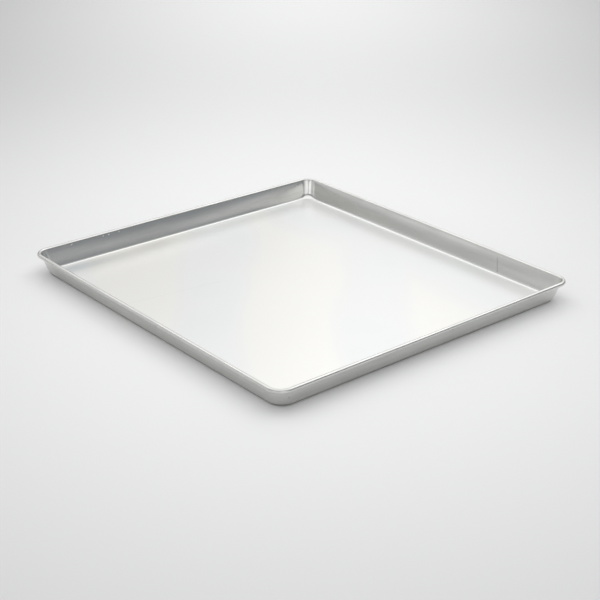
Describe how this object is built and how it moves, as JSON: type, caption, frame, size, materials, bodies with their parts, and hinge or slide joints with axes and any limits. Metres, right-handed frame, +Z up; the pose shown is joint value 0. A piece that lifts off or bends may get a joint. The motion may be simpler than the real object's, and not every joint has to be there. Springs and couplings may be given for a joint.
{
  "type": "sheet pan",
  "caption": "Shallow rectangular aluminium sheet pan with a flat floor, flared walls, drawn rounded corners and a rim rolled over a stiffening wire, for baking and roasting.",
  "frame": {"origin": "centre of the underside of the floor", "axes": "+X along the longer side, +Y along the shorter side, +Z up out of the pan"},
  "size_m": [0.4572, 0.4318, 0.0254],
  "materials": {
    "aluminium_sheet": "satin mill finish",
    "steel_wire": "drawn wire, hidden in the rolled rim"
  },
  "bodies": {
    "root": {"pan_body": "aluminium_sheet", "rim_wire": "steel_wire"}
  },
  "joints": []
}
